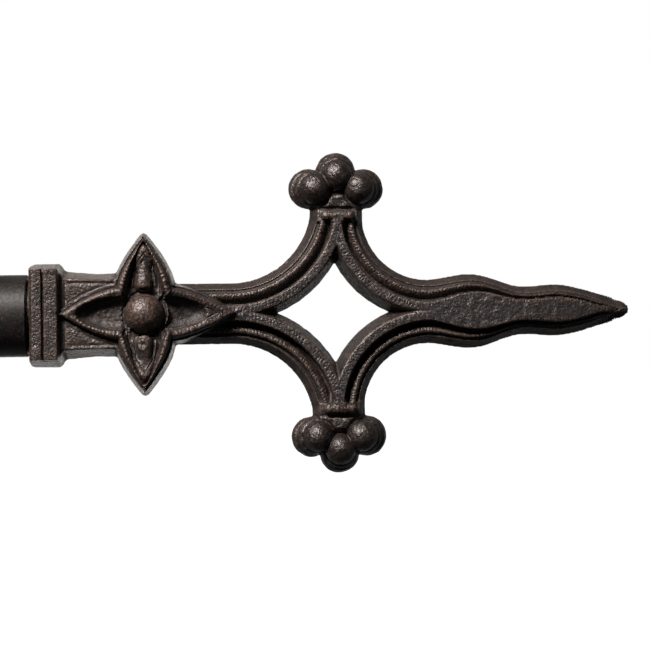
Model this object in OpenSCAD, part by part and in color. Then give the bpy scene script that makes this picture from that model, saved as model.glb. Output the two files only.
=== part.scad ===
// Cast-iron gothic-cross finial on the end of a steel curtain pole.
// X runs along the pole: the pole's cut end is at X = 0 and the finial's tip is at the far end.
// The cross stands in the XZ plane and both relief faces look along Y, the front one towards -Y.
// Front and back halves of the casting mirror each other about the parting plane Y = 0.

/* [Pole] */
// Outer diameter of the tube
pole_d = 25; // [20:0.5:30]
// Wall of the tube
pole_wall = 1.5; // [1:0.1:2]
// Length of the tube, cut square at the near end
pole_len = 45; // [40:1:120]

/* [Spigot] */
// How far the finial's spigot reaches into the tube
spigot_in = 28; // [15:1:36]
// Play between the spigot and the inside of the tube, on the radius
spigot_play = 0.2; // [0.1:0.05:0.5]
// Open gap between the end of the tube and the collar
pole_gap = 0.8; // [0.4:0.1:2]

/* [Collar and body] */
// Length of the square collar at the parting line
collar_len = 9.7; // [8:0.1:14]
// Height of the collar at the parting line
collar_h = 31.6; // [30:0.2:38]
// Depth of the collar from front face to back face
collar_depth = 29; // [26:0.5:34]
// Width of the upright groove in the collar's front and back faces
collar_groove = 0.8; // [0.4:0.1:1.2]
// Height of the body next to the collar
body_h = 26.8; // [24:0.2:28]
// Height of the body at its waist
waist_h = 25.2; // [22:0.2:26]
// Depth of the body from front face to back face
body_depth = 24; // [20:0.5:25]

/* [Flower] */
// Distance from the end of the pole to the flower's centre
flower_x = 35.2; // [33:0.2:39]
// Reach of the upright petals at the parting line
petal_up = 25.8; // [22:0.2:30]
// Reach of the petal that lies on the body
petal_near = 26.2; // [22:0.2:26.6]
// Reach of the petal that lies on the shaft
petal_far = 29.6; // [26:0.2:31]
// Half the width of each petal where two petals meet
petal_half = 8.6; // [7:0.1:9]
// Height of the petals' rim above the parting plane
rim_y = 14; // [13.5:0.1:15]
// Radius of the round boss
boss_r = 6; // [5:0.1:6.8]

/* [Cross] */
// Distance from the flower's centre to the middle of the left-hand arcs
arc_near_x = 26.6; // [24:0.2:30]
// Outer radius of the two arcs on the flower's side
arc_near_r = 25; // [23:0.2:27]
// Outer radius of the two arcs on the point's side
arc_far_r = 20.3; // [19:0.1:21.5]
// Width of the curved bars at the parting line
bar_w = 12.3; // [11.5:0.1:13]
// Half the height of the shaft where the near arcs touch it
shaft_half = 9.4; // [9:0.1:10]
// Half the height of the point's root where the far arcs touch it
root_half = 9.9; // [9.4:0.1:10.4]
// Width of the necks that carry the balls
neck_w = 16.4; // [15:0.2:18]
// Height of the flat inner bands above the parting plane
band_y = 7; // [6:0.1:8]

/* [Trefoils] */
// Radius of each ball at the parting line
ball_r = 6.3; // [5.6:0.1:6.8]
// Distance from the pole's axis to the centres of the side balls
side_ball_z = 38.3; // [37:0.1:40]
// Sideways distance from the cross's upright axis to the side balls
side_ball_x = 8.5; // [7.6:0.1:9]
// Distance from the pole's axis to the centres of the top and bottom balls
end_ball_z = 43.3; // [42:0.1:45]

/* [Point] */
// Length of the wavy point from the far arcs' centres to its tip
point_len = 63.8; // [60:0.5:76]
// Half the width of the point's first swelling
swell_1 = 11.6; // [11:0.1:12.4]
// Half the width of the point's waist
point_waist = 7.5; // [7:0.1:8]
// Half the width of the point's second swelling
swell_2 = 8.15; // [8:0.05:9]

/* [Hidden] */
SHEET = 0.4;                                      // thickness of the thin outlines that forms are drawn from

pole_bore_r = pole_d / 2 - pole_wall;
spigot_r = pole_bore_r - spigot_play;
collar_x = pole_gap;                              // every x below counts from the pole's far end
collar_end = collar_x + collar_len;
arc_near_cx = flower_x + arc_near_x;
arc_near_cz = arc_near_r + shaft_half;
arc_far_cz = arc_far_r + root_half;
neck_x = arc_near_cx + arc_near_r + neck_w / 2 - 0.4;
arc_far_cx = neck_x + neck_w / 2 - 0.2 + arc_far_r;
tip_x = arc_far_cx + point_len;

// The moulding of a bar, as [distance in from the outer edge, height]
edge_w = 2.3;                                     // drafted outer wall
edge_y = 3.8;                                     // arris on top of that wall
roll_y = 5;                                       // crown of the roll
groove_y = 3.1;                                   // floor of the deep groove
band_in = 7;                                      // where the flat band starts
band_out = bar_w - 2.3;                           // where the band drops to the opening
edge_break = 0.25;                                // small chamfer on the band's edges

function moulding(start, k = 1) =
    let (roll = start - edge_w)
    [
        [0, 0],
        [edge_w, edge_y * k],
        [edge_w + 0.07 * roll, (edge_y - 0.15) * k],
        [edge_w + 0.22 * roll, (roll_y - 0.25) * k],
        [edge_w + 0.4 * roll, roll_y * k],
        [edge_w + 0.6 * roll, (roll_y - 0.6) * k],
        [edge_w + 0.82 * roll, groove_y * k],
        [edge_w + 0.97 * roll, groove_y * k],
        [start, (band_y - edge_break) * k],
        [start + edge_break, band_y * k],
    ];

bar_front = concat(moulding(band_in), [
    [band_out - edge_break, band_y],
    [band_out, band_y - edge_break],
    [bar_w, 0],
]);

// A list of front points [t, y] closed by its own mirror image in y = 0
function mirrored(front) =
    concat(front, [for (i = [len(front) - 2 : -1 : 1]) [front[i][0], -front[i][1]]]);

// --- pole -----------------------------------------------------------------

module pole() {
    color([0.13, 0.12, 0.12])
        rotate([0, 90, 0])
            difference() {
                cylinder(h = pole_len, r = pole_d / 2, $fn = 96);
                translate([0, 0, -1]) cylinder(h = pole_len + 2, r = pole_bore_r, $fn = 96);
            }
}

// A solid skin over rings that all have the same number of [x, y, z] points, closed flat at both ends
module loft(rings) {
    n = len(rings[0]);
    last = len(rings) - 1;
    polyhedron(
        points = [for (r = rings, p = r) p],
        faces = concat(
            [[for (i = [n - 1 : -1 : 0]) i]],
            [for (s = [0 : last - 1], i = [0 : n - 1])
                [s * n + i, s * n + (i + 1) % n, (s + 1) * n + i]],
            [for (s = [0 : last - 1], i = [0 : n - 1])
                [(s + 1) * n + i, s * n + (i + 1) % n, (s + 1) * n + (i + 1) % n]],
            [[for (i = [0 : n - 1]) last * n + i]]
        ),
        convexity = 6);
}

// --- collar, body and spigot -----------------------------------------------

// A six-cornered ring at x: half height z_mid at the parting plane and z_face on the faces at y_face
function six(x, z_mid, z_face, y_face) = [
    [x, 0, z_mid], [x, y_face, z_face], [x, y_face, -z_face],
    [x, 0, -z_mid], [x, -y_face, -z_face], [x, -y_face, z_face],
];

module collar_body() {
    z_mid = collar_h / 2;
    z_face = z_mid - 2.3;
    y_face = collar_depth / 2;
    start = collar_end + 1.5;
    waist = (start + flower_x - petal_half) / 2 + 1.6;
    difference() {
        loft([
            six(collar_x, z_mid - 0.6, z_face - 0.4, y_face - 1.1),
            six(collar_x + 1.2, z_mid - 0.1, z_face, y_face),
            six(collar_end - 1, z_mid, z_face, y_face),
            six(collar_end - 0.2, z_mid - 0.6, z_face - 1.2, y_face - 2.9),
            six(collar_end + 0.6, body_h / 2 + 0.4, body_h / 2 - 2.6, body_depth / 2 - 0.8),
            six(start, body_h / 2, body_h / 2 - 2.7, body_depth / 2),
            six(waist, waist_h / 2, waist_h / 2 - 2.3, body_depth / 2),
            six(flower_x - petal_half + 1.8, waist_h / 2 + 0.3, waist_h / 2 - 2.2, body_depth / 2),
        ]);
        for (side = [-1, 1])
            translate([collar_x + 0.46 * collar_len, side * y_face, 0])
                cube([collar_groove, 2.4, collar_h + 2], center = true);
    }
}

module spigot() {
    reach = spigot_in + pole_gap;
    translate([collar_x - reach, 0, 0])
        rotate([0, 90, 0])
            cylinder(h = reach + 1, r = spigot_r, $fn = 32);
}

// --- flower ----------------------------------------------------------------

PETAL_STEPS = 5;

// Half width of a petal at distance d from the flower's centre: full where petals meet, an ogive to the tip
function petal_width(d, reach, half) =
    d <= half ? half : half * (1 - pow((d - half) / (reach - half), 1.45));

function petal_outline(reach, half) =
    let (side = [for (i = [0 : PETAL_STEPS]) let (d = half + (reach - half) * i / PETAL_STEPS)
        [d, petal_width(d, reach, half)]])
    concat([[0, -half]], [for (i = [0 : PETAL_STEPS]) [side[i][0], -side[i][1]]],
           [for (i = [PETAL_STEPS - 1 : -1 : 0]) side[i]], [[0, half]]);

// A thin petal pointing along +X whose outer face is the plane y = height (a negative height is the front)
module petal_sheet(reach, half, height) {
    translate([0, height > 0 ? height : height + SHEET, 0])
        rotate([90, 0, 0])
            linear_extrude(height = SHEET)
                polygon(petal_outline(reach, half));
}

// Leans a petal back about the flower's centre, so that its tip lies lower than its root
module lean(angle, face) {
    translate([0, face * rim_y, 0]) rotate([0, 0, -face * angle]) translate([0, -face * rim_y, 0]) children();
}

// A petal with its outer wall, the ledge round it and the rim on top of that
module petal(reach_mid, reach, drop) {
    angle = atan(drop / reach);
    hull() {
        petal_sheet(reach_mid, petal_half + 0.9, SHEET / 2);
        for (face = [-1, 1]) lean(angle, face) petal_sheet(reach - 0.2, petal_half, face * (rim_y - 1.9));
    }
    for (face = [-1, 1])
        hull() {
            lean(angle, face) petal_sheet(reach - 0.8, petal_half - 0.4, face * (rim_y - 2.3));
            lean(angle, face) petal_sheet(reach - 1.5, petal_half - 0.9, face * (rim_y - 0.55));
            lean(angle, face) petal_sheet(reach - 2.6, petal_half - 1.6, face * rim_y);
        }
}

// The outline of a dish that runs out from the flower's centre to a round end
function dish_outline(reach, half) =
    let (turns = [for (i = [0 : 5]) [petal_half - 1.6 + (reach - petal_half + 1.6) * sin(18 * i), half * cos(18 * i)]])
    concat([[0, -half]], [for (t = turns) [t[0], -t[1]]], [for (i = [4 : -1 : 0]) turns[i]], [[0, half]]);

module dish_sheet(reach, half, height) {
    translate([0, height > 0 ? height : height + SHEET, 0])
        rotate([90, 0, 0])
            linear_extrude(height = SHEET)
                polygon(dish_outline(reach, half));
}

// The round-ended dish in each side petal
module side_dish(reach, drop, half = 5.3, deep = 2.9) {
    angle = atan(drop / reach);
    for (face = [-1, 1])
        hull() {
            lean(angle, face) dish_sheet(reach - 6.1, half, face * (rim_y + 3));
            lean(angle, face) dish_sheet(reach - 6.1, half, face * (rim_y + 0.4));
            lean(angle, face) dish_sheet(reach - 7.4, half - 1.1, face * (rim_y - 1.7));
            lean(angle, face) dish_sheet(reach - 9.8, half - 2.7, face * (rim_y - deep));
        }
}

// The hollow inside the thin wall of each upright petal
module upright_hollow(reach) {
    for (face = [-1, 1])
        hull() {
            petal_sheet(reach - 1.5, petal_half - 1.8, face * (rim_y + 0.6));
            petal_sheet(reach - 2.6, petal_half - 2.6, face * (rim_y - 2.6));
        }
}

// The tongue that lies in the hollow of an upright petal
module tongue(face) {
    floor_y = face * (rim_y - 2.8);
    hull() {
        translate([8.8, floor_y, 0]) sphere(r = 2.7, $fn = 10);
        translate([18.9, floor_y, 0]) sphere(r = 1.1, $fn = 8);
    }
}

far_drop = rim_y - band_y - 1.2;

module petals() {
    translate([flower_x, 0, 0]) {
        for (turn = [90, -90]) rotate([0, turn, 0]) petal(petal_up, petal_up - 2, 0);
        rotate([0, 180, 0]) petal(petal_near, petal_near + 0.6, 0);
        petal(petal_far - 1, petal_far, far_drop);
    }
}

module hollows() {
    translate([flower_x, 0, 0]) {
        for (turn = [90, -90]) rotate([0, turn, 0]) upright_hollow(petal_up - 2);
        rotate([0, 180, 0]) side_dish(petal_near + 0.5, 0);
        side_dish(petal_far - 3.9, 0.84 * far_drop, 5.2);
    }
}

module tongues_and_boss() {
    translate([flower_x, 0, 0])
        for (face = [-1, 1]) {
            for (turn = [90, -90]) rotate([0, turn, 0]) tongue(face);
            // the boss in its shallow round seat
            translate([0, face * (rim_y - 3.6), 0]) sphere(r = boss_r, $fn = 18);
            translate([0, face * (rim_y - 4.1), 0])
                rotate([90, 0, 0]) cylinder(h = 3.1, r = boss_r + 1.3, center = true, $fn = 20);
        }
}

// --- shaft, cross and point ------------------------------------------------

// The wavy point: half widths at its turning places, joined by half cosines
function wave(x, x0, y0, x1, y1) = y0 + (y1 - y0) * (1 - cos(180 * (x - x0) / (x1 - x0))) / 2;

swell_1_x = arc_far_cx + 0.206 * point_len;
waist_x = arc_far_cx + 0.48 * point_len;
swell_2_x = arc_far_cx + 0.63 * point_len;
nose_len = tip_x - swell_2_x;
nose_run = 4.6;

function point_half(x) =
    x < swell_1_x ? wave(x, arc_far_cx - 1, root_half, swell_1_x, swell_1) :
    x < waist_x ? wave(x, swell_1_x, swell_1, waist_x, point_waist) :
    x < swell_2_x ? wave(x, waist_x, point_waist, swell_2_x, swell_2) :
    swell_2 * (1 - pow((x - swell_2_x) / (nose_len * 1.1), 1.55));

// How far the raised panel stays in from the edge, and how the relief thins towards the tip
function point_start(x) =
    let (far = min(1, (x - arc_far_cx) / (waist_x - arc_far_cx)))
    min(band_in + (4.3 - band_in) * far, point_half(x) - 2.4 * edge_break);
function point_k(x) =
    (1 - 0.45 * pow(max(0, (x - waist_x) / (tip_x - waist_x)), 1.3)) * min(1, point_half(x) / 5);

// Upper half of the point at x: the moulding, then the panel to a little past the axis
function point_front(x) =
    let (w = point_half(x), start = point_start(x), k = point_k(x), past = 0.3 * (w - start))
    concat(moulding(start, k), [
        [w + past - edge_break / 4, band_y * k],
        [w + past, (band_y - edge_break / 4) * k],
        [w + past + edge_break / 4, 0],
    ]);

// A ring of the moulding whose outer edge is at [x, z], running inwards along the unit direction [dx, dz]
function ring_at(front, x, z, dx, dz) = [for (p = mirrored(front)) [x + p[0] * dx, p[1], z + p[0] * dz]];
function ring_on_arc(cx, cz, r, angle) =
    ring_at(bar_front, cx + r * cos(angle), cz + r * sin(angle), cos(angle), sin(angle));

ARC_STEPS = 12;
POINT_STEPS = 20;

// Upper half of the shaft and the near arc that it curves up into
module near_arm() {
    neck_angle = -8.5;
    loft(concat(
        [ring_at(bar_front, flower_x, shaft_half, 0, -1)],
        [for (i = [0 : ARC_STEPS])
            ring_on_arc(arc_near_cx, arc_near_cz, arc_near_r, -90 + (90 + neck_angle) * i / ARC_STEPS)]
    ));
}

// The far arc, coming down from the neck, and the upper half of the point, whose last ring shrinks round the nose
module far_arm() {
    neck_angle = 184.5;
    run = point_len - nose_run;
    last_x = arc_far_cx + run;
    last = ring_at(point_front(last_x), last_x, point_half(last_x), 0, -1);
    loft(concat(
        [for (i = [0 : ARC_STEPS])
            ring_on_arc(arc_far_cx, arc_far_cz, arc_far_r, neck_angle + (270 - neck_angle) * i / ARC_STEPS)],
        [for (i = [1 : POINT_STEPS - 1]) let (x = arc_far_cx + run * i / POINT_STEPS)
            ring_at(point_front(x), x, point_half(x), 0, -1)],
        [last],
        [for (d = [0.55, 0.3, 0.13, 0]) let (f = sqrt(max(0.17, d * (2 - d))))
            [for (p = last) [tip_x - d * nose_run, p[1] * f, p[2] * f]]]
    ));
}

// A neck with its half-round bar, the pad above it and three balls, for the top (side = 1) or bottom (-1)
module trefoil(side) {
    pad_z = 31.6;
    mirror([0, 0, side > 0 ? 0 : 1])
        translate([neck_x, 0, 0]) {
            // the neck's drafted block
            hull() {
                translate([0, 0, arc_far_cz + 2.5]) cube([neck_w, SHEET, 12], center = true);
                translate([0, 0, arc_far_cz + 1.4]) cube([neck_w - 4.2, 2 * edge_y + 1.5, 7.8], center = true);
            }
            // the half-round bar across each face
            for (face = [-1, 1])
                hull()
                    for (x = [-3.5, 3.5], y = [edge_y - 1.7, edge_y + 1.8])
                        translate([x, face * y, pad_z - 1.95]) sphere(r = 1.6, $fn = 10);
            // the lumpy pad between the balls
            hull() {
                translate([0, 0, pad_z]) rotate([90, 0, 0])
                    linear_extrude(height = 2 * edge_y + 0.8, center = true)
                        polygon([[-5.6, 0], [5.6, 0], [2.2, 5.2], [-2.2, 5.2]]);
                translate([0, 0, pad_z]) rotate([90, 0, 0])
                    linear_extrude(height = 2 * edge_y + 3.2, center = true)
                        polygon([[-3.6, 1], [3.6, 1], [1.4, 3.9], [-1.4, 3.9]]);
            }
            ball(-side_ball_x, side_ball_z, 1.7, -0.2);
            ball(side_ball_x, side_ball_z, -1.7, -0.2);
            ball(0, end_ball_z, 0, -1.2);
        }
}

// A ball on both sides of the parting plane: a drafted skirt under domes set in by [dx, dz]
module ball(x, z, dx, dz) {
    hull() {
        translate([x, 0, z]) rotate([90, 0, 0]) cylinder(h = SHEET, r = ball_r, center = true, $fn = 16);
        translate([x + 0.5 * dx, 0, z + 0.5 * dz])
            rotate([90, 0, 0]) cylinder(h = 4.8, r = ball_r - 0.9, center = true, $fn = 16);
        for (face = [-1, 1])
            translate([x + dx, face * 3.6, z + dz]) sphere(r = ball_r - 1.4, $fn = 12);
    }
}

module finial() {
    color([0.16, 0.14, 0.13])
        translate([pole_len, 0, 0]) {
            spigot();
            difference() {
                union() {
                    collar_body();
                    petals();
                }
                hollows();
            }
            tongues_and_boss();
            for (side = [0, 1])
                mirror([0, 0, side]) {
                    near_arm();
                    far_arm();
                }
            for (side = [-1, 1]) trefoil(side);
        }
}

pole();
finial();
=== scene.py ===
"""Looks of the cast-iron gothic-cross finial on its pole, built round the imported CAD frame.

The frame is in metres: X along the pole, the front relief face towards -Y, Z up. The sizes of the relief
are millimetres, with x counted from the pole's far end as the CAD counts it, and MM turns them into metres.
"""

import math
from types import SimpleNamespace

import bpy
import numpy as np
from mathutils import Matrix, Vector


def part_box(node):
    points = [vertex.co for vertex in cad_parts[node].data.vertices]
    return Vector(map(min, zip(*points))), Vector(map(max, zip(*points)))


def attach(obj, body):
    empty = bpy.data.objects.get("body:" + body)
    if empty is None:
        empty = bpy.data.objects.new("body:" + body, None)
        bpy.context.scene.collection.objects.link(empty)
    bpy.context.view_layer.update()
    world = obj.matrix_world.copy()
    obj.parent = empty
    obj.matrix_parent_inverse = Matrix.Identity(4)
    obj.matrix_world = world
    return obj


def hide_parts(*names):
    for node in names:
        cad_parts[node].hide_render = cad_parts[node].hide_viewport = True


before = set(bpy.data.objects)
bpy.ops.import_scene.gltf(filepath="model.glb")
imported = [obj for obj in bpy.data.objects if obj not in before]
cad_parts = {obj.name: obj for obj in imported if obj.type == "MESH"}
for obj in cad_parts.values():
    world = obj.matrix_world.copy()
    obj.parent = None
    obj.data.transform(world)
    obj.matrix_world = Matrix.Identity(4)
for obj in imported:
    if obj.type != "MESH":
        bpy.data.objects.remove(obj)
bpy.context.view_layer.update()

MM = 0.001
POLE_LOW, POLE_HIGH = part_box("pole")
CASTING_LOW, CASTING_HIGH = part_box("finial")
POLE_END = POLE_HIGH[0] / MM

# --- camera: the photograph's viewing angle -------------------------------------------

LENS, SENSOR = 90.0, 36.0
YAW, PITCH, ROLL = math.radians(5.5), math.radians(1.2), math.radians(0.82)
CAMERA_DISTANCE = 0.5035
NEAREST, FARTHEST = 0.01, 50.0
AIM = Vector(((POLE_END + 90.7) * MM, 0.0, -3.85 * MM))


def add_camera():
    """A view of the front from slightly left and below, tilted a little in its own plane."""
    forward = Vector((math.sin(YAW) * math.cos(PITCH), math.cos(YAW) * math.cos(PITCH), math.sin(PITCH)))
    level = Vector((math.cos(YAW), -math.sin(YAW), 0.0))
    upright = level.cross(forward)
    right = level * math.cos(ROLL) - upright * math.sin(ROLL)
    up = level * math.sin(ROLL) + upright * math.cos(ROLL)
    data = bpy.data.cameras.new("camera")
    data.lens = LENS
    data.sensor_width = SENSOR
    data.clip_start, data.clip_end = NEAREST, FARTHEST
    camera = bpy.data.objects.new("camera", data)
    turn = Matrix((right, up, -forward)).transposed()
    camera.matrix_world = Matrix.Translation(AIM - forward * CAMERA_DISTANCE) @ turn.to_4x4()
    bpy.context.collection.objects.link(camera)
    bpy.context.scene.camera = camera


# --- sizes of the forms, as in the CAD, in millimetres --------------------------------

FLOWER_X = 35.2
PETAL_HALF, PETAL_UP, PETAL_NEAR, PETAL_FAR = 8.6, 23.8, 26.8, 29.6
PETAL_TAPER = 1.45
RIM_Y = 14.0
NEAR_R, SHAFT_HALF = 25.0, 9.4
FAR_R, ROOT_HALF = 20.3, 9.9
NECK_W = 16.4
NEAR_CX = FLOWER_X + 26.6
NEAR_CZ = NEAR_R + SHAFT_HALF
NECK_X = NEAR_CX + NEAR_R + NECK_W / 2 - 0.4
FAR_CX = NECK_X + NECK_W / 2 - 0.2 + FAR_R
FAR_CZ = FAR_R + ROOT_HALF
BAR_MIDDLE = 6
POINT_LEN = 63.8
SWELL_1_HALF, WAIST_HALF, SWELL_2_HALF = 11.6, 7.5, 8.15
SWELL_1_PART, WAIST_PART, SWELL_2_PART = 0.206, 0.48, 0.63


def half_wave(x, x0, y0, x1, y1):
    """A smooth wave from (x0, y0) to (x1, y1), level at both ends."""
    return y0 + (y1 - y0) * (1 - np.cos(np.pi * (x - x0) / (x1 - x0))) / 2


def point_half(x):
    """Half width of the wavy point at x: a wide swell, a waist, a slighter swell and the nose."""
    parts = (SWELL_1_PART, WAIST_PART, SWELL_2_PART)
    swell_1, waist, swell_2 = (FAR_CX + part * POINT_LEN for part in parts)
    nose = POINT_LEN * (1 - SWELL_2_PART) * 1.1
    return np.select(
        [x < swell_1, x < waist, x < swell_2],
        [
            half_wave(x, FAR_CX - 1, ROOT_HALF, swell_1, SWELL_1_HALF),
            half_wave(x, swell_1, SWELL_1_HALF, waist, WAIST_HALF),
            half_wave(x, waist, WAIST_HALF, swell_2, SWELL_2_HALF),
        ],
        SWELL_2_HALF * (1 - np.clip((x - swell_2) / nose, 0, 1) ** 1.55),
    )


# --- numbers on meshes ----------------------------------------------------------------


def soft_step(value, low, high):
    """0 up to low, 1 from high on, and a smooth rise between them."""
    part = np.clip((value - low) / (high - low), 0, 1)
    return part * part * (3 - 2 * part)


def between(value, low, high, blur):
    """1 where value lies between low and high, falling to 0 over blur on each side."""
    return soft_step(value, low - blur, low) * (1 - soft_step(value, high, high + blur))


def bell(value, width):
    """1 at 0, falling to a third at width."""
    return np.exp(-((value / width) ** 2))


def lattice(i, j, k, seed):
    """A repeatable random number from -1 to 1 for each whole-number point."""
    mixed = (i * 73856093) ^ (j * 19349663) ^ (k * 83492791) ^ (seed * 2654435761)
    mixed = (mixed ^ (mixed >> 13)) * 1274126177
    mixed = mixed ^ (mixed >> 16)
    return (mixed & 0xFFFF) / 32767.5 - 1.0


def noise(points, size, seed):
    """Smooth noise from -1 to 1 with lumps of about that size."""
    scaled = points / size
    cell = np.floor(scaled).astype(np.int64)
    part = scaled - cell
    part = part * part * (3 - 2 * part)
    total = np.zeros(len(points))
    for di in (0, 1):
        for dj in (0, 1):
            for dk in (0, 1):
                weight = np.ones(len(points))
                for axis, d in enumerate((di, dj, dk)):
                    weight *= part[:, axis] if d else 1 - part[:, axis]
                total += weight * lattice(cell[:, 0] + di, cell[:, 1] + dj, cell[:, 2] + dk, seed)
    return total


class Surface:
    """A mesh's points and edges as arrays, in millimetres."""

    def __init__(self, mesh, unit=1.0):
        self.mesh, self.unit = mesh, unit
        count = len(mesh.vertices)
        flat = np.empty(count * 3, dtype=np.float32)
        mesh.vertices.foreach_get("co", flat)
        self.points = flat.reshape(-1, 3).astype(np.float64) / unit
        ends = np.empty(len(mesh.edges) * 2, dtype=np.int32)
        mesh.edges.foreach_get("vertices", ends)
        self.a, self.b = ends.reshape(-1, 2).T
        self.degree = np.bincount(self.a, minlength=count) + np.bincount(self.b, minlength=count)

    def mean_of_neighbours(self, values):
        """For each point the mean of values at the points that an edge joins to it."""
        count = len(values)
        out = np.empty_like(values)
        for axis in range(values.shape[1]):
            column = values[:, axis]
            from_b = np.bincount(self.a, column[self.b], count)
            from_a = np.bincount(self.b, column[self.a], count)
            out[:, axis] = from_b + from_a
        return out / self.degree[:, None]

    def smoothed(self, values, rounds, share=0.5):
        """values moved towards the mean of their neighbours, by share of the way each round."""
        for _ in range(rounds):
            values = values + share * (self.mean_of_neighbours(values) - values)
        return values

    def write(self):
        """Puts the points back into the mesh."""
        self.mesh.vertices.foreach_set("co", (self.points * self.unit).astype(np.float32).ravel())
        self.mesh.update()

    def normals(self):
        """Each point's outward direction, with the points as they are now."""
        self.write()
        flat = np.empty(len(self.points) * 3, dtype=np.float32)
        self.mesh.vertices.foreach_get("normal", flat)
        return flat.reshape(-1, 3).astype(np.float64)


def applied(obj):
    """Replaces obj's mesh by what its modifiers make of it."""
    shown = obj.evaluated_get(bpy.context.evaluated_depsgraph_get())
    mesh = bpy.data.meshes.new_from_object(shown)
    old = obj.data
    obj.modifiers.clear()
    obj.data = mesh
    bpy.data.meshes.remove(old)
    return mesh


# --- the casting: where things lie on it ----------------------------------------------

VOXEL = 0.3
FACE_LIMIT = 190_000

# across a bar, counted in from its outer edge
ARRIS, SCORE, ROLL_FROM, ROLL_TO, GROOVE = 2.2, 2.8, 3.4, 5.2, 6.5
BAND_RIM, BAND_FROM, BAND_TO, BAND_INNER_RIM = 7.3, 7.5, 9.7, 9.8
# along X, counted from the pole's end, where the bars' mouldings and those of the point run
ARMS_FROM, ARMS_TO = 44.0, 186.5
POINT_FROM, POINT_FULL = 118, 126
PANEL_FROM = 120
BAND_FADES, BAND_GONE = 116, 122
TIP_FADES, TIP_GONE = 168, 182
NOSE_X = 180.8
# heights from the middle
ARMS_FADE, ARMS_GONE = 27.2, 28.0
NECK_FROM, NECK_SEAM, NECK_TO = 28.6, 31.9, 37.0
TIP_Z = 24.6

BOSS_R = 6.0
BALL_R, DOME_R, DOME_Y = 6.3, 4.95, 3.6
BALLS = [(NECK_X - 8.5, 38.3), (NECK_X + 8.5, 38.3), (NECK_X, 43.3)]
DOMES = [(NECK_X - 6.8, 38.1), (NECK_X + 6.8, 38.1), (NECK_X, 42.1)]
# small ring-shaped casting pits on the front: x, z and radius
RING_MARKS = [(FLOWER_X + 7.0, 8.6, 1.0), (FLOWER_X - 0.4, -9.4, 1.3), (64.2, 0.2, 0.9)]


def moulding_place(x, height):
    """For shaft, arcs and point: distance in from the moulding's outer edge, and distance along it."""
    on_near, on_far = x >= NEAR_CX, x <= FAR_CX
    near_t = np.where(on_near, np.hypot(x - NEAR_CX, height - NEAR_CZ) - NEAR_R, SHAFT_HALF - height)
    near_turn = np.arctan2(x - NEAR_CX, NEAR_CZ - height)
    near_s = np.where(on_near, near_turn * (NEAR_R + BAR_MIDDLE), x - NEAR_CX)
    far_t = np.where(on_far, np.hypot(x - FAR_CX, height - FAR_CZ) - FAR_R, point_half(x) - height)
    far_turn = np.arctan2(FAR_CX - x, FAR_CZ - height)
    far_s = np.where(on_far, -far_turn * (FAR_R + BAR_MIDDLE), x - FAR_CX)
    near = x < NECK_X
    return np.where(near, near_t, far_t), np.where(near, near_s, far_s)


def petal_place(dx, z):
    """For the flower: distance out along a petal, sideways, and in from its edge, and if it is upright."""
    upright = np.abs(z) > np.abs(dx)
    out = np.where(upright, np.abs(z), np.abs(dx))
    side = np.where(upright, np.abs(dx), np.abs(z))
    reach = np.where(upright, PETAL_UP, np.where(dx < 0, PETAL_NEAR, PETAL_FAR))
    part = np.clip((out - PETAL_HALF) / (reach - PETAL_HALF), 0, 1.2)
    width = PETAL_HALF * (1 - part**PETAL_TAPER)
    slope = PETAL_HALF * PETAL_TAPER * part**0.45 / (reach - PETAL_HALF)
    return out, side, (width - side) / np.hypot(1, slope), upright


def places(points, normals):
    """Where each point lies on the casting's forms, as masks and distances in millimetres."""
    x, y, z = points.T[0] - POLE_END, points.T[1], points.T[2]
    depth, height = np.abs(y), np.abs(z)
    t, s = moulding_place(x, height)
    out, side, inside, upright = petal_place(x - FLOWER_X, z)
    from_boss = np.hypot(x - FLOWER_X, z)
    flower = (depth > 7.6) & (from_boss < 30) & (inside > -0.4)
    arms = between(x, ARMS_FROM, ARMS_TO, 0.5) * (1 - soft_step(height, ARMS_FADE, ARMS_GONE)) * ~flower
    neck = (np.abs(x - NECK_X) < 7.5) * between(height, NECK_FROM, NECK_TO, 0.4)
    dome = np.min([np.hypot(x - dome_x, height - dome_z) for dome_x, dome_z in DOMES], axis=0)
    facing = soft_step(np.abs(normals[:, 1]), 0.25, 0.6)
    on_point = soft_step(x, POINT_FROM, POINT_FULL)
    return SimpleNamespace(
        x=x, y=y, z=z, depth=depth, height=height, facing=facing, t=t, s=s,
        out=out, side=side, inside=inside, upright=upright, from_boss=from_boss,
        flower=flower, arms=arms, neck=neck, dome=dome, on_point=on_point,
    )


# --- the casting: its relief ----------------------------------------------------------
# Each of these adds to move, which says how far each point moves outwards, in millimetres.


def tooling(along, across, pitch, slant, points, seed):
    """Close strokes of a punch across a band: 0 to 1, uneven in spacing and depth."""
    wander = 0.9 * noise(points, 4.0, seed) + 0.35 * noise(points, 1.6, seed + 1)
    wave = 0.5 + 0.5 * np.sin(2 * np.pi * (along + slant * across) / pitch + 2.2 * wander)
    return wave**1.3 * (0.65 + 0.35 * noise(points, 2.2, seed + 2))


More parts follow.
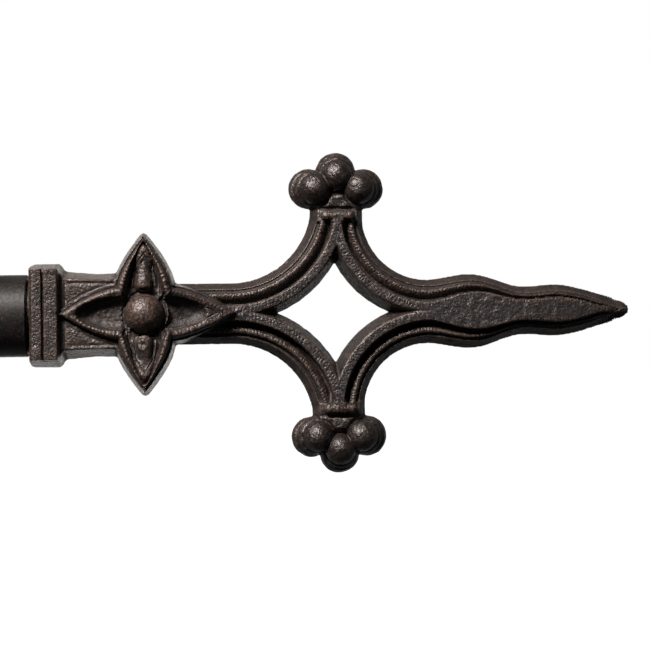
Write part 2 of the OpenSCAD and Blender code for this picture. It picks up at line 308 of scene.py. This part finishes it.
def carve_bars(move, at, points):
    """Shaft, arcs and point: a score behind the arris, the serrated roll, the chased band, the panel."""
    x, t, s, facing, on_point = at.x, at.t, at.s, at.facing, at.on_point
    arms = at.arms * facing
    tip = 1 - soft_step(x, TIP_FADES, TIP_GONE)
    move += 0.12 * arms * bell(t - ARRIS, 0.35) * tip
    move -= 0.45 * arms * bell(t - SCORE, 0.4) * tip
    strokes = tooling(s, t - 4.5, 0.95, 0.2, points, 11)
    roll = arms * between(t, ROLL_FROM, ROLL_TO, 0.5)
    move += 0.11 * roll * (strokes - 0.35) * (1 - 0.5 * on_point) * tip
    move -= 0.35 * arms * bell(t - GROOVE, 0.5) * (1 - on_point)
    strokes = tooling(s, t - 8.4, 1.1, -0.5, points, 21) + 0.5 * noise(points, 0.9, 22)
    band = arms * between(t, BAND_FROM, BAND_TO, 0.4) * (1 - soft_step(x, BAND_FADES, BAND_GONE))
    move += 0.10 * band * (strokes - 0.5)
    rims = ((BAND_RIM, 0.4, 0.15, 1.0, 25, 0.3), (BAND_INNER_RIM, 0.35, 0.12, 1.3, 26, 0.4))
    for place, width, rise, pitch, seed, level in rims:
        strokes = tooling(s, t, pitch, 0.0, points, seed)
        move += rise * arms * (1 - on_point) * bell(t - place, width) * (strokes - level)

    # the nose is filled out where the voxels pinch it
    move += 0.5 * (1 - facing) * bell(x - NOSE_X, 2.4) * (at.height < 6)

    # the point's panel: orange-peel skin with lumps
    panel = arms * soft_step(x, PANEL_FROM, POINT_FULL) * soft_step(t, 4.6, 6.0) * (0.3 + 0.7 * tip)
    move += panel * (0.15 * noise(points, 1.5, 51) + 0.11 * noise(points, 0.8, 52))


def carve_flower(move, at, points):
    """Rope-like rims with a ledge line outside, thin ribs beside the tongues, a moat round the boss."""
    out, side, inside, depth, facing = at.out, at.side, at.inside, at.depth, at.facing
    rope = at.flower * between(inside, 1.2, 4.4, 0.6) * (depth > 8.5)
    strokes = tooling(out, inside, 1.25, 0.8, points, 31)
    move += rope * facing * (0.13 * (strokes - 0.4) + 0.07 * noise(points, 1.6, 33))
    move += 0.30 * rope * facing * bell(inside - 2.1, 0.8)
    move += 1.25 * rope * at.upright * bell(inside - 3.4, 1.1) * soft_step(depth, 10.6, 11.6)
    move -= 0.30 * at.flower * facing * bell(inside - 0.5, 0.35)

    inner = at.flower * at.upright * (depth < 13.4) * (inside > 2.4)
    rib_side = 3.5 - (out - 8.0) * 0.165
    move += 0.75 * inner * between(out, 8.5, 20.0, 1.0) * bell(side - rib_side, 0.42)
    move -= 0.35 * inner * between(out, 8.0, 18.0, 1.5) * bell(side - rib_side - 1.2, 0.6)
    move += inner * (0.08 + 0.12 * (at.z < 0)) * noise(points, 1.5, 35)
    move += 0.35 * inner * bell(side, 1.0) * between(out, 18.6, 21.0, 1.0)

    moat = 0.75 * between(at.from_boss, 6.3, 7.3, 0.25) + 0.25 * bell(at.from_boss - 6.2, 0.4)
    move -= soft_step(depth, 8.6, 10.2) * moat * facing
    pyramid = (at.x > 58.5) & (at.x < 64.0) & (at.height < 6) & (depth > 6.5)
    move -= 0.12 * pyramid * bell(at.height - 2.6, 0.4)


def carve_body(move, at, points, normals):
    """A line along each edge of the body and round the petal that lies on it, and uneven collar bands."""
    body = (at.x > 12.6) & (at.x < 28.0) & (at.depth > 11.0) & ~at.flower
    move -= 0.26 * body * bell(at.height - 9.3, 0.36)
    move -= 0.30 * body * bell(at.inside + 0.55, 0.4)
    collar = (at.x < 10.6) & (at.depth > 12)
    move += 0.08 * collar * noise(points, 3.0, 36)
    move -= 0.5 * (at.x < 2.2) * (at.depth > 8) * soft_step(-normals[:, 0], 0.3, 0.7)


def round_off(move, at):
    """True round forms where the CAD solid has flats: the boss, the balls' domes and their skirts."""
    rounds = [(FLOWER_X, 0.0, RIM_Y - 3.6, BOSS_R)] + [(*dome, DOME_Y, DOME_R) for dome in DOMES]
    for form_x, form_z, form_y, radius in rounds:
        off_x, off_z, off_y = at.x - form_x, at.height - form_z, at.depth - form_y
        away = np.sqrt(off_x**2 + off_z**2 + off_y**2)
        near = between(away, radius - 0.5, radius + 0.25, 0.1) * (at.depth > form_y - 0.5)
        move += 0.9 * near * (radius - away)
    skirt = np.min([np.hypot(at.x - ball_x, at.height - ball_z) for ball_x, ball_z in BALLS], axis=0)
    low = (at.depth < 2.0) & (at.height > 33)
    move += 0.9 * low * between(skirt, 5.0, 6.5, 0.1) * (BALL_R - 0.4 * at.depth - skirt)


def carve_ends(move, at, points):
    """Serrated necks, hammered pads, and the line between each ball's dome and its skirt."""
    neck = at.neck * at.facing
    serrated = tooling(at.x, at.height, 1.15, 0.15, points, 61)
    move += 0.15 * neck * (at.height < NECK_SEAM - 0.5) * (serrated - 0.4)
    move -= 0.35 * neck * bell(at.height - NECK_SEAM, 0.4)
    pad = neck * (at.height > NECK_SEAM) * (at.dome > 4.8)
    move += pad * (0.32 * noise(points, 2.1, 62) + 0.12 * noise(points, 1.1, 63))
    on_ball = (at.height > 31.0) & (at.dome < 7.5)
    move -= 0.22 * on_ball * bell(at.dome - 5.15, 0.4) * (at.depth > 2.0)
    move += on_ball * (0.10 * noise(points, 2.0, 71) + 0.06 * noise(points, 0.9, 72))


def carve_marks(move, at):
    """The small ring-shaped casting pits on the front."""
    for mark_x, mark_z, size in RING_MARKS:
        away = np.hypot(at.x - mark_x, at.z - mark_z)
        move += (at.y < -6) * at.facing * (0.16 * bell(away - size, 0.3) - 0.30 * bell(away, 0.7 * size))


def roughen(move, at, points):
    """The skin of the casting: lumps, grain and pits, calmer on the drafted outer walls."""
    calm = 1 - 0.35 * (1 - at.facing)
    lumps = 0.06 * noise(points, 6.0, 41) + 0.05 * noise(points, 2.2, 42) + 0.055 * noise(points, 1.0, 43)
    move += calm * lumps
    move -= 0.15 * calm * soft_step(noise(points, 1.5, 44), 0.6, 0.9)


def relief(points, normals):
    """How far each point of the casting moves outwards, in millimetres."""
    at = places(points, normals)
    move = np.zeros(len(points))
    carve_bars(move, at, points)
    carve_flower(move, at, points)
    carve_body(move, at, points, normals)
    round_off(move, at)
    carve_ends(move, at, points)
    carve_marks(move, at)
    roughen(move, at, points)
    return move


def blunt_tips(points):
    """Rounds off the sharp tips of the upright petals."""
    height = np.abs(points[:, 2])
    beyond = (height > TIP_Z) & (np.abs(points[:, 0] - POLE_END - FLOWER_X) < 4)
    points[beyond, 2] = np.sign(points[beyond, 2]) * (TIP_Z + 0.3 * (height[beyond] - TIP_Z))


def build_casting():
    """The finial as one fine mesh made from the CAD solid, with its relief and cast skin."""
    obj = bpy.data.objects.new("finial_casting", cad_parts["finial"].data.copy())
    bpy.context.collection.objects.link(obj)
    obj.data.transform(Matrix.Scale(1 / MM, 4))
    obj.modifiers.new("even", "REMESH").mode = "VOXEL"
    obj.modifiers["even"].voxel_size = VOXEL
    surface = Surface(applied(obj))
    for share in (0.5, -0.52, 0.5, -0.52):     # evens out the voxels' steps without shrinking the form
        surface.points = surface.smoothed(surface.points, 1, share)
    normals = surface.normals()
    keep = soft_step(surface.points[:, 0], POLE_END - 1, POLE_END + 0.5)     # the spigot stays plain
    surface.points += normals * (relief(surface.points, normals) * keep)[:, None]
    blunt_tips(surface.points)
    surface.write()
    obj.modifiers.new("fewer", "DECIMATE").ratio = min(1.0, FACE_LIMIT / (2 * len(surface.mesh.polygons)))
    mesh = applied(obj)
    mesh.transform(Matrix.Scale(MM, 4))
    surface = Surface(mesh, MM)
    surface.points = np.clip(surface.points, np.array(CASTING_LOW) / MM, np.array(CASTING_HIGH) / MM)
    add_wear_and_painted_light_masks(surface)
    mesh.polygons.foreach_set("use_smooth", np.ones(len(mesh.polygons), dtype=bool))
    return obj


def add_wear_and_painted_light_masks(surface):
    """Stores for the material how proud each point lies, and which form it is on and where across it: masks
    for rubbed edges and for painted shade, sheen, reflection and highlights.
    """
    normals = surface.normals()
    fine = surface.points - surface.smoothed(surface.points, 3)
    broad = surface.points - surface.smoothed(surface.points, 16)
    at = places(surface.points, normals)
    steep = 1 - at.facing
    # steep walls, which the material paints lighter as a painted reflection of the white surroundings
    wall = steep * at.arms * (at.t < 2.6) + steep * (at.x < 30) * (at.height > 9.5)
    wall += steep * (at.height > 30) * 0.2 + steep * at.flower * 0.5
    band = at.arms * between(at.t, 7.2, 9.9, 0.3)
    panel = at.arms * soft_step(at.x, PANEL_FROM, POINT_FULL) * soft_step(at.t, 4.8, 6.0)
    petal = at.flower * (at.depth > 8.0)
    on_ball = (at.height > 31.5) * (at.dome < 9.0)
    layers = {
        "edge": np.clip((fine * normals).sum(axis=1) / 0.06, -1, 1),
        # how proud each point lies; sunk places get painted shade in the material
        "proud": np.clip((broad * normals).sum(axis=1) / 0.3, -1, 1),
        "wall": np.clip(wall, 0, 1),
        # the chased bands and the point's panel, which get a painted cool sheen in the material
        "band": np.maximum(band, 0.6 * panel),
        "arm": at.arms * at.facing,
        # the balls' domes, which get painted shade in the material
        "ball": on_ball * (1 - 0.6 * soft_step(at.dome, 4.9, 5.6)),
        "bar": at.arms * at.facing * (1 - at.on_point),
        "petal": petal,
        "along": np.where(petal, at.out, at.s),
        "across": np.where(petal, at.inside, at.t),
    }
    for name, value in layers.items():
        layer = surface.mesh.attributes.new(name, "FLOAT", "POINT")
        layer.data.foreach_set("value", value.astype(np.float32))


# --- the pole -------------------------------------------------------------------------

POLE_WALL, POLE_SOFT_EDGE, POLE_SIDES = 1.5, 0.25, 192


def build_pole():
    """The tube as a finely turned mesh with softened ends."""
    outer = (POLE_HIGH[2] - POLE_LOW[2]) / 2 / MM
    inner, rounded, length = outer - POLE_WALL, outer - POLE_SOFT_EDGE, POLE_END
    outside = [(POLE_SOFT_EDGE, outer), (length - POLE_SOFT_EDGE, outer), (length, rounded)]
    profile = outside + [(length, inner), (0, inner), (0, rounded)]
    points, faces = [], []
    for x, r in profile:
        for i in range(POLE_SIDES):
            turn = 2 * math.pi * i / POLE_SIDES
            points.append((x * MM, r * math.cos(turn) * MM, r * math.sin(turn) * MM))
    for j in range(len(profile)):
        this, following = j * POLE_SIDES, (j + 1) % len(profile) * POLE_SIDES
        for i in range(POLE_SIDES):
            n = (i + 1) % POLE_SIDES
            faces.append((this + i, this + n, following + n, following + i))
    mesh = bpy.data.meshes.new("pole_tube")
    mesh.from_pydata(points, [], faces)
    mesh.validate()
    obj = bpy.data.objects.new("pole_tube", mesh)
    bpy.context.collection.objects.link(obj)
    mesh.set_sharp_from_angle(angle=math.radians(35))
    return obj


# --- materials ------------------------------------------------------------------------

IRON_DARK, IRON_BROWN = (0.0055, 0.0047, 0.0045), (0.0150, 0.0102, 0.0085)
# painted sheen: cool grey-blue for the chased bands
BAND_COOL_SHEEN = (0.0095, 0.0095, 0.0106)
# painted reflection: lighter brown for the steep walls
WALL_REFLECTION_BROWN = (0.0250, 0.0170, 0.0140)
# rubbed brown for worn edges, and a painted highlight colour for the arrises
EDGE_RUBBED, ARRIS_HIGHLIGHT = (0.042, 0.025, 0.018), (0.040, 0.025, 0.018)
# painted shade: near black for the hollows and for the scored lines
HOLLOW_SHADE_BLACK, SCORE_SHADE_BLACK = (0.0022, 0.0019, 0.0018), (0.0018, 0.0016, 0.0015)
# painted shade: near black for the balls' domes
DOME_SHADE_BLACK = (0.0026, 0.0020, 0.0018)
LACQUER_BLACK, LACQUER_BROWN = (0.0040, 0.0036, 0.0036), (0.0075, 0.0062, 0.0056)
LACQUER_SPECK = (0.036, 0.019, 0.0125)
SPAN_KEYS = ("From Min", "From Max", "To Min", "To Max")


class Nodes:
    """A material's node tree with short ways to add and join nodes."""

    def __init__(self, name):
        self.material = bpy.data.materials.new(name)
        self.material.use_nodes = True
        self.tree = self.material.node_tree
        self.shader = self.tree.nodes["Principled BSDF"]
        self.place = self.tree.nodes.new("ShaderNodeTexCoord").outputs["Object"]

    def link(self, source, target):
        self.tree.links.new(source, target)

    def noise(self, size_mm, detail=3.0):
        """Noise from 0 to 1 with lumps of about that size."""
        node = self.tree.nodes.new("ShaderNodeTexNoise")
        node.inputs["Scale"].default_value = 1000.0 / size_mm
        node.inputs["Detail"].default_value = detail
        self.link(self.place, node.inputs["Vector"])
        return node.outputs["Fac"]

    def attribute(self, name):
        node = self.tree.nodes.new("ShaderNodeAttribute")
        node.attribute_name = name
        return node.outputs["Fac"]

    def span(self, value, low, high, to_low=0.0, to_high=1.0):
        """A smooth change from to_low, where value is low, to to_high, where it is high."""
        node = self.tree.nodes.new("ShaderNodeMapRange")
        node.interpolation_type = "SMOOTHSTEP"
        self.link(value, node.inputs["Value"])
        for key, number in zip(SPAN_KEYS, (low, high, to_low, to_high)):
            node.inputs[key].default_value = number
        return node.outputs["Result"]

    def math(self, kind, first, second):
        node = self.tree.nodes.new("ShaderNodeMath")
        node.operation = kind
        for socket, value in zip(node.inputs, (first, second)):
            if isinstance(value, (int, float)):
                socket.default_value = value
            else:
                self.link(value, socket)
        return node.outputs[0]

    def times(self, first, second):
        return self.math("MULTIPLY", first, second)

    def plus(self, first, second):
        return self.math("ADD", first, second)

    def most(self, first, second):
        return self.math("MAXIMUM", first, second)

    def line(self, value, middle, width):
        """1 where value is at middle, falling to 0 at width from it."""
        away = self.math("ABSOLUTE", self.math("SUBTRACT", value, middle), 0.0)
        return self.span(away, 0.0, width, 1.0, 0.0)

    def mix(self, factor, first, second):
        node = self.tree.nodes.new("ShaderNodeMix")
        node.data_type = "RGBA"
        self.link(factor, node.inputs["Factor"])
        for key, value in (("A", first), ("B", second)):
            socket = next(s for s in node.inputs if s.name == key and s.type == "RGBA")
            if isinstance(value, tuple):
                socket.default_value = (*value, 1.0)
            else:
                self.link(value, socket)
        return next(s for s in node.outputs if s.type == "RGBA")

    def bump(self, height, distance_mm, strength, before=None):
        node = self.tree.nodes.new("ShaderNodeBump")
        node.inputs["Distance"].default_value = distance_mm * MM
        node.inputs["Strength"].default_value = strength
        self.link(height, node.inputs["Height"])
        if before is not None:
            self.link(before, node.inputs["Normal"])
        return node.outputs["Normal"]


def cast_iron():
    """Waxed black iron, rubbed brown on edges, with painted shade in the hollows, the scored lines and on
    the balls' domes, a painted cool sheen on the chased bands, a painted lighter reflection on the steep
    walls and painted highlights along the arrises.
    """
    nodes = Nodes("cast_iron")
    names = ("edge", "proud", "band", "wall", "arm", "bar", "petal", "ball", "along", "across")
    edge, proud, band, wall, arm, bar, petal, ball, along, across = map(nodes.attribute, names)
    grain, speck = nodes.noise(0.8), nodes.noise(1.7)

    colour = nodes.mix(nodes.span(speck, 0.35, 0.65), IRON_DARK, IRON_BROWN)
    # painted sheen: a cool grey-blue on the chased bands and, more faintly, on the point's panel
    cool = nodes.times(band, nodes.span(speck, 0.3, 0.6, 0.25, 0.9))
    colour = nodes.mix(cool, colour, BAND_COOL_SHEEN)
    # painted reflection: steep walls are made lighter brown, standing in for the white surroundings seen in
    # them
    wall_reflection = nodes.times(wall, nodes.span(nodes.noise(3.5), 0.3, 0.65, 0.45, 1.0))
    colour = nodes.mix(wall_reflection, colour, WALL_REFLECTION_BROWN)
    rubbed = nodes.times(nodes.span(edge, 0.25, 1.0), nodes.span(grain, 0.38, 0.62, 0.1, 1.0))
    colour = nodes.mix(rubbed, colour, EDGE_RUBBED)
    # painted shade: sunk, concave places are darkened towards near black
    sunk = nodes.times(nodes.span(proud, -0.8, -0.1, 1.0, 0.0), 0.7)
    colour = nodes.mix(sunk, colour, HOLLOW_SHADE_BLACK)

    # scored lines with painted shade in them, and painted highlights along the arrises beside them, on the
    # bars and round the petals
    on_bar = nodes.times(bar, nodes.times(nodes.line(across, 6.9, 0.4), 0.8))
    on_petal = nodes.most(nodes.line(across, 0.75, 0.35), nodes.times(nodes.line(across, 3.75, 0.4), 0.7))
    scored = nodes.most(nodes.times(arm, nodes.line(across, 2.6, 0.4)), on_bar)
    scored = nodes.plus(scored, nodes.times(petal, on_petal))
    # painted highlight: thin light lines along the arrises, broken up by the grain
    arris = nodes.times(bar, nodes.most(nodes.line(across, 7.4, 0.35), nodes.line(across, 9.8, 0.3)))
    arris = nodes.most(arris, nodes.times(arm, nodes.line(across, 2.15, 0.35)))
    arris = nodes.times(arris, nodes.span(grain, 0.35, 0.6, 0.1, 0.8))
    colour = nodes.mix(arris, colour, ARRIS_HIGHLIGHT)
    # painted shade: the scored lines are darkened towards black
    colour = nodes.mix(nodes.times(scored, 0.9), colour, SCORE_SHADE_BLACK)
    # painted shade: the balls' domes are darkened towards black, their skirts less
    colour = nodes.mix(nodes.times(ball, 0.8), colour, DOME_SHADE_BLACK)
    nodes.link(colour, nodes.shader.inputs["Base Color"])

    dull = nodes.plus(nodes.times(sunk, 0.3), nodes.times(scored, 0.35))
    dull = nodes.plus(dull, nodes.times(ball, -0.04))
    rough = nodes.plus(nodes.span(grain, 0.3, 0.7, 0.37, 0.52), dull)
    nodes.link(rough, nodes.shader.inputs["Roughness"])
    nodes.shader.inputs["Metallic"].default_value = 0.0
    nodes.shader.inputs["IOR"].default_value = 1.45
    nodes.shader.inputs["Specular Tint"].default_value = (1.0, 0.92, 0.9, 1.0)

    # fine strokes of the punch over the coarser ones that the mesh has, then the cast grain
    phase = nodes.plus(nodes.times(along, 2 * math.pi / 1.05), nodes.times(across, 2.2))
    strokes = nodes.math("SINE", nodes.plus(phase, nodes.times(nodes.noise(2.6), 14.0)), 0.0)
    struck = nodes.times(arm, nodes.line(across, 4.3, 1.4))
    struck = nodes.most(struck, nodes.times(bar, nodes.line(across, 8.5, 1.7)))
    struck = nodes.plus(struck, nodes.times(petal, nodes.line(across, 2.4, 1.6)))
    skin = nodes.bump(nodes.times(strokes, struck), 0.05, 0.8)
    skin = nodes.bump(nodes.times(scored, -1.0), 0.35, 1.0, skin)
    skin = nodes.bump(nodes.noise(0.8), 0.30, 1.0, skin)
    skin = nodes.bump(nodes.noise(0.45, 2.0), 0.10, 1.0, skin)
    nodes.link(skin, nodes.shader.inputs["Normal"])
    return nodes.material


def pole_lacquer():
    """Satin near-black lacquer with a fine brown speckle."""
    nodes = Nodes("pole_lacquer")
    speck = nodes.times(nodes.span(nodes.noise(0.7, 2.0), 0.56, 0.68), 0.6)
    patches = nodes.span(nodes.noise(5.0), 0.4, 0.65)
    colour = nodes.mix(speck, nodes.mix(patches, LACQUER_BLACK, LACQUER_BROWN), LACQUER_SPECK)
    nodes.link(colour, nodes.shader.inputs["Base Color"])
    nodes.link(nodes.span(nodes.noise(0.9, 2.0), 0.3, 0.7, 0.4, 0.55), nodes.shader.inputs["Roughness"])
    nodes.shader.inputs["IOR"].default_value = 1.3
    nodes.link(nodes.bump(nodes.noise(0.9), 0.06, 0.6), nodes.shader.inputs["Normal"])
    return nodes.material


# --- floor and light, in metres and watts ---------------------------------------------

FLOOR_DROP, FLOOR_HALF = 0.5, 30.0
WHITE, WARM_WHITE = (1.0, 1.0, 1.0), (1.0, 0.95, 0.91)
CENTRE = Vector(((CASTING_LOW[0] + CASTING_HIGH[0]) / 2, 0.0, 0.0))


def pale_floor():
    """Matt white floor that glows, most of all behind the object, where it meets the white studio."""
    nodes = Nodes("pale_floor")
    nodes.shader.inputs["Base Color"].default_value = (0.9, 0.9, 0.9, 1.0)
    nodes.shader.inputs["Roughness"].default_value = 0.9
    away = nodes.tree.nodes.new("ShaderNodeSeparateXYZ")
    nodes.link(nodes.place, away.inputs[0])
    nodes.shader.inputs["Emission Color"].default_value = (*WHITE, 1.0)
    glow = nodes.span(away.outputs["Y"], -1.0, 1.9, 0.72, 1.0)
    nodes.link(glow, nodes.shader.inputs["Emission Strength"])
    return nodes.material


def add_floor():
    """The floor, well below the object. It is seen, but it doesn't light the object from below."""
    mesh = bpy.data.meshes.new("floor")
    signs = ((-1, -1), (1, -1), (1, 1), (-1, 1))
    corners = [(FLOOR_HALF * right, FLOOR_HALF * far, 0) for right, far in signs]
    mesh.from_pydata(corners, [], [(0, 1, 2, 3)])
    floor = bpy.data.objects.new("floor", mesh)
    floor.location = (CENTRE.x, 0.0, -FLOOR_DROP)
    bpy.context.collection.objects.link(floor)
    floor.data.materials.append(pale_floor())
    floor.visible_diffuse = floor.visible_glossy = False


def add_light(name, offset, size, watts, spread=180, colour=WHITE):
    """A soft square light at offset from the casting's centre, turned towards it."""
    data = bpy.data.lights.new(name, "AREA")
    data.shape, data.size, data.energy, data.color = "SQUARE", size, watts, colour
    data.spread = math.radians(spread)
    light = bpy.data.objects.new(name, data)
    turn = (-Vector(offset)).to_track_quat("-Z", "Y").to_matrix().to_4x4()
    light.matrix_world = Matrix.Translation(CENTRE + Vector(offset)) @ turn
    bpy.context.collection.objects.link(light)


def add_surroundings():
    """Pale studio: white where the camera sees it, and it lights the object mostly from behind."""
    world = bpy.data.worlds.new("studio")
    world.use_nodes = True
    bpy.context.scene.world = world
    tree = world.node_tree
    background = tree.nodes["Background"]
    place = tree.nodes.new("ShaderNodeTexCoord")
    axes = tree.nodes.new("ShaderNodeSeparateXYZ")
    tree.links.new(place.outputs["Generated"], axes.inputs[0])
    shade = tree.nodes.new("ShaderNodeMapRange")
    shade.interpolation_type = "SMOOTHSTEP"
    for key, number in zip(SPAN_KEYS, (-0.3, 0.7, 0.014, 0.24)):
        shade.inputs[key].default_value = number
    tree.links.new(axes.outputs["Y"], shade.inputs["Value"])
    path = tree.nodes.new("ShaderNodeLightPath")
    either = tree.nodes.new("ShaderNodeMath")
    either.operation = "MAXIMUM"
    tree.links.new(shade.outputs["Result"], either.inputs[0])
    tree.links.new(path.outputs["Is Camera Ray"], either.inputs[1])
    tree.links.new(either.outputs[0], background.inputs["Strength"])
    background.inputs["Color"].default_value = (*WHITE, 1.0)


# --- put together ---------------------------------------------------------------------

add_camera()

casting = build_casting()
casting.data.materials.clear()
casting.data.materials.append(cast_iron())
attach(casting, "root")
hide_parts("finial")

tube = build_pole()
tube.data.materials.append(pole_lacquer())
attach(tube, "root")
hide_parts("pole")

add_floor()
add_surroundings()
add_light("key_left", (-0.42, -0.56, 0.62), 0.28, 3.9, 60, WARM_WHITE)
add_light("fill_right", (0.6, -0.6, 0.1), 0.6, 0.4)
add_light("back", (0.0, 1.3, 0.0), 1.3, 2.2, 60, WARM_WHITE)
bpy.context.scene.view_settings.view_transform = "Standard"
